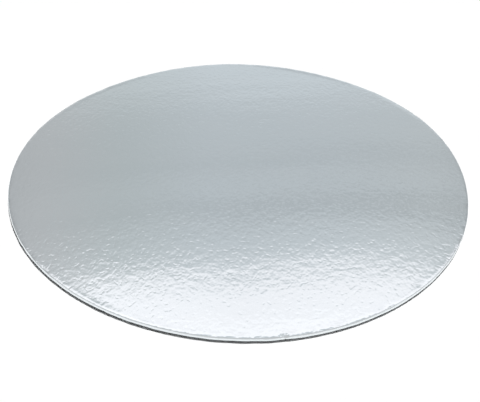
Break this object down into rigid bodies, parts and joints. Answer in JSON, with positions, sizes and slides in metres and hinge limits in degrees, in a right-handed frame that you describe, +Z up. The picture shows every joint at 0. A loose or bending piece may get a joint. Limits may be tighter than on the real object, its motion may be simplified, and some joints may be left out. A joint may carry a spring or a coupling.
{
  "type": "cake board",
  "caption": "Round flat silver-foil cake board with a rounded, wrapped edge, pleated foil turned under and a paper-backed underside to rest on.",
  "frame": {"origin": "centre of the underside, in the plane that the board rests on", "axes": "+Z up, out of the foil face that carries the cake; X and Y lie in the board, which is round, so neither is special"},
  "size_m": [0.254, 0.254, 0.0025],
  "materials": {
    "silver_foil": "soft-gloss silver foil paper with a fine orange-peel grain",
    "backing_paper": "matt uncoated white paper"
  },
  "bodies": {
    "root": {"cake_board": "silver_foil"}
  },
  "joints": []
}
